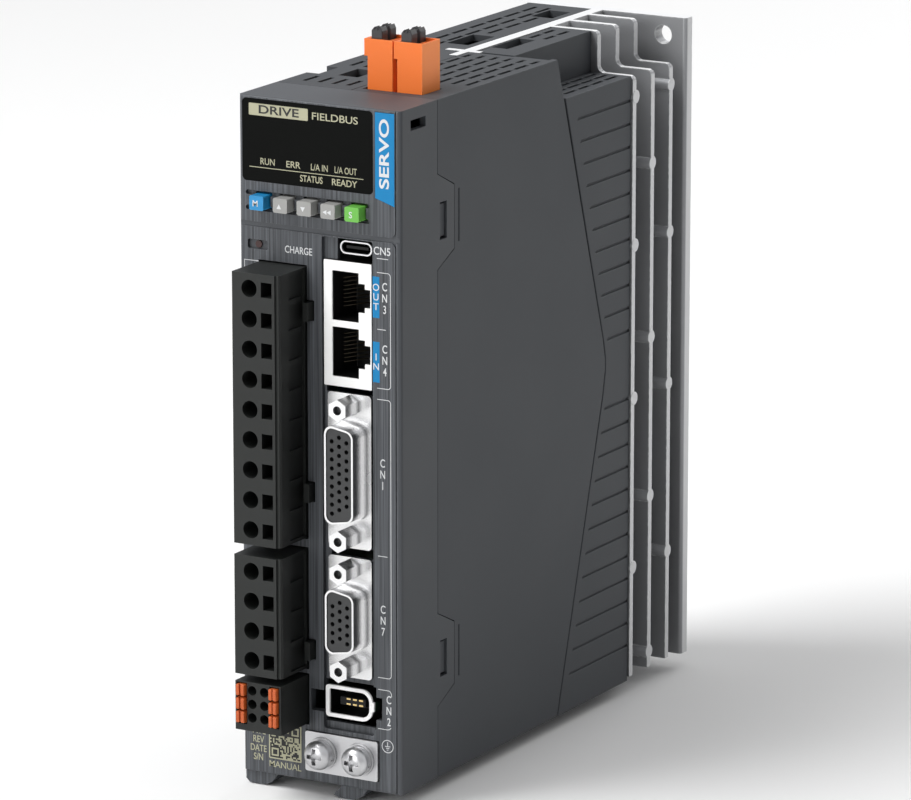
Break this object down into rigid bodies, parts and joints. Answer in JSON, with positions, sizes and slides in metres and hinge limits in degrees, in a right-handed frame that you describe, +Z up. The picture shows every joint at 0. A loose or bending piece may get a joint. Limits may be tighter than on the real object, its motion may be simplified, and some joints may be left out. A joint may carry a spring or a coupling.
{
  "type": "servo drive",
  "caption": "Narrow cabinet-mounted servo drive with keypad display, pluggable power and control connectors, and a finned die-cast heat sink at the back.",
  "frame": {"origin": "centre of the back mounting face of the heat sink plate", "axes": "+Z up along the height, the front panel faces -Y, the back face points to +Y, +X is the right side seen from the front"},
  "size_m": [0.048, 0.1641, 0.1916],
  "materials": {
    "housing_plastic": "fine spark-eroded texture, dark grey",
    "black_plastic": "semi-matt black glass-filled nylon",
    "window_acrylic": "gloss black tinted window",
    "blue_plastic": "smooth blue",
    "key_blue": "smooth blue key",
    "key_grey": "grey key",
    "key_green": "green key",
    "cast_aluminium": "die-cast, lightly blasted",
    "circuit_board": "green solder mask",
    "red_diffuser": "red tinted epoxy",
    "capacitor_sleeve": "blue-black sleeve",
    "thermal_silicone": "soft grey pad",
    "relay_case": "light grey case",
    "transformer_tape": "yellow tape and ferrite",
    "copper_winding": "enamelled wire",
    "nickel_steel": "bright nickel plating",
    "zinc_steel": "zinc plated",
    "pin_metal": "tin over brass",
    "white_plastic": "white jack body",
    "orange_plastic": "orange nylon",
    "lever_grey": "dark grey lever"
  },
  "bodies": {
    "drive": {"front_bezel": "housing_plastic", "display_window": "window_acrylic", "colour_strip": "blue_plastic", "main_housing": "housing_plastic", "right_cover": "housing_plastic", "rear_shroud": "housing_plastic", "heat_sink": "cast_aluminium", "control_board": "circuit_board", "power_board": "circuit_board", "display_board": "circuit_board", "led_display": "red_diffuser", "key_switches": "black_plastic", "charge_light": "red_diffuser", "dc_capacitors": "capacitor_sleeve", "power_module": "black_plastic", "bridge_rectifier": "black_plastic", "thermal_pads": "thermal_silicone", "inrush_relay": "relay_case", "transformer": "transformer_tape", "line_choke": "copper_winding", "control_chips": "black_plastic", "board_spacers": "zinc_steel", "board_screws": "zinc_steel", "power_header": "black_plastic", "motor_header": "black_plastic", "brake_header": "black_plastic", "top_header": "black_plastic", "header_pins": "pin_metal", "usb_socket": "nickel_steel", "network_jack": "white_plastic", "dsub_shells": "nickel_steel", "dsub_inserts": "black_plastic", "jack_screws": "nickel_steel", "encoder_shell": "white_plastic", "encoder_insert": "black_plastic", "ground_plate": "nickel_steel"},
    "key_mode": {"key_mode": "key_blue"},
    "key_up": {"key_up": "key_grey"},
    "key_down": {"key_down": "key_grey"},
    "key_shift": {"key_shift": "key_grey"},
    "key_set": {"key_set": "key_green"},
    "ground_washers_a": {"ground_washers_a": "zinc_steel"},
    "ground_washers_b": {"ground_washers_b": "zinc_steel"},
    "ground_screw_a": {"ground_screw_a": "zinc_steel"},
    "ground_screw_b": {"ground_screw_b": "zinc_steel"},
    "power_plug": {"power_plug": "black_plastic"},
    "motor_plug": {"motor_plug": "black_plastic"},
    "brake_plug": {"brake_plug": "black_plastic"},
    "brake_lever_1": {"brake_lever_1": "orange_plastic"},
    "brake_lever_2": {"brake_lever_2": "orange_plastic"},
    "brake_lever_3": {"brake_lever_3": "orange_plastic"},
    "brake_lever_4": {"brake_lever_4": "orange_plastic"},
    "brake_lever_5": {"brake_lever_5": "orange_plastic"},
    "brake_lever_6": {"brake_lever_6": "orange_plastic"},
    "top_plug_a": {"top_plug_a": "orange_plastic"},
    "top_plug_b": {"top_plug_b": "orange_plastic"},
    "top_lever_a1": {"top_lever_a1": "lever_grey"},
    "top_lever_a2": {"top_lever_a2": "lever_grey"},
    "top_lever_b1": {"top_lever_b1": "lever_grey"},
    "top_lever_b2": {"top_lever_b2": "lever_grey"}
  },
  "joints": [
    {"name": "key_mode_press", "type": "slide", "parent": "drive", "child": "key_mode", "axis": [0, 1, 0], "range_m": [0, 0.0005], "stiffness_N_per_m": 1000},
    {"name": "key_up_press", "type": "slide", "parent": "drive", "child": "key_up", "axis": [0, 1, 0], "range_m": [0, 0.0005], "stiffness_N_per_m": 1000},
    {"name": "key_down_press", "type": "slide", "parent": "drive", "child": "key_down", "axis": [0, 1, 0], "range_m": [0, 0.0005], "stiffness_N_per_m": 1000},
    {"name": "key_shift_press", "type": "slide", "parent": "drive", "child": "key_shift", "axis": [0, 1, 0], "range_m": [0, 0.0005], "stiffness_N_per_m": 1000},
    {"name": "key_set_press", "type": "slide", "parent": "drive", "child": "key_set", "axis": [0, 1, 0], "range_m": [0, 0.0005], "stiffness_N_per_m": 1000},
    {"name": "power_plug_pull", "type": "slide", "parent": "drive", "child": "power_plug", "axis": [0, -1, 0], "range_m": [0, 0.03]},
    {"name": "motor_plug_pull", "type": "slide", "parent": "drive", "child": "motor_plug", "axis": [0, -1, 0], "range_m": [0, 0.03]},
    {"name": "brake_plug_pull", "type": "slide", "parent": "drive", "child": "brake_plug", "axis": [0, -1, 0], "range_m": [0, 0.03]},
    {"name": "top_plug_a_pull", "type": "slide", "parent": "drive", "child": "top_plug_a", "axis": [0, 0, 1], "range_m": [0, 0.03]},
    {"name": "top_plug_b_pull", "type": "slide", "parent": "drive", "child": "top_plug_b", "axis": [0, 0, 1], "range_m": [0, 0.03]},
    {"name": "brake_lever_1_press", "type": "slide", "parent": "brake_plug", "child": "brake_lever_1", "axis": [0, 1, 0], "range_m": [0, 0.001], "stiffness_N_per_m": 1200},
    {"name": "brake_lever_2_press", "type": "slide", "parent": "brake_plug", "child": "brake_lever_2", "axis": [0, 1, 0], "range_m": [0, 0.001], "stiffness_N_per_m": 1200},
    {"name": "brake_lever_3_press", "type": "slide", "parent": "brake_plug", "child": "brake_lever_3", "axis": [0, 1, 0], "range_m": [0, 0.001], "stiffness_N_per_m": 1200},
    {"name": "brake_lever_4_press", "type": "slide", "parent": "brake_plug", "child": "brake_lever_4", "axis": [0, 1, 0], "range_m": [0, 0.001], "stiffness_N_per_m": 1200},
    {"name": "brake_lever_5_press", "type": "slide", "parent": "brake_plug", "child": "brake_lever_5", "axis": [0, 1, 0], "range_m": [0, 0.001], "stiffness_N_per_m": 1200},
    {"name": "brake_lever_6_press", "type": "slide", "parent": "brake_plug", "child": "brake_lever_6", "axis": [0, 1, 0], "range_m": [0, 0.001], "stiffness_N_per_m": 1200},
    {"name": "top_lever_a1_press", "type": "slide", "parent": "top_plug_a", "child": "top_lever_a1", "axis": [0, 0, -1], "range_m": [0, 0.0015], "stiffness_N_per_m": 800},
    {"name": "top_lever_a2_press", "type": "slide", "parent": "top_plug_a", "child": "top_lever_a2", "axis": [0, 0, -1], "range_m": [0, 0.0015], "stiffness_N_per_m": 800},
    {"name": "top_lever_b1_press", "type": "slide", "parent": "top_plug_b", "child": "top_lever_b1", "axis": [0, 0, -1], "range_m": [0, 0.0015], "stiffness_N_per_m": 800},
    {"name": "top_lever_b2_press", "type": "slide", "parent": "top_plug_b", "child": "top_lever_b2", "axis": [0, 0, -1], "range_m": [0, 0.0015], "stiffness_N_per_m": 800},
    {"name": "ground_washers_a_slide", "type": "slide", "parent": "drive", "child": "ground_washers_a", "axis": [0, -1, 0], "range_m": [0, 0.0028]},
    {"name": "ground_screw_a_turn", "type": "hinge", "parent": "ground_washers_a", "child": "ground_screw_a", "pos_m": [0.0007, -0.15, -0.0784], "axis": [0, -1, 0], "range_deg": [0, 1441]},
    {"name": "ground_washers_b_slide", "type": "slide", "parent": "drive", "child": "ground_washers_b", "axis": [0, -1, 0], "range_m": [0, 0.0028]},
    {"name": "ground_screw_b_turn", "type": "hinge", "parent": "ground_washers_b", "child": "ground_screw_b", "pos_m": [0.0115, -0.15, -0.0784], "axis": [0, -1, 0], "range_deg": [0, 1441]}
  ],
  "couplings": [
    {"joint": "ground_screw_a_turn", "follows": "ground_washers_a_slide", "rad_per_m": 8976},
    {"joint": "ground_screw_b_turn", "follows": "ground_washers_b_slide", "rad_per_m": 8976}
  ]
}
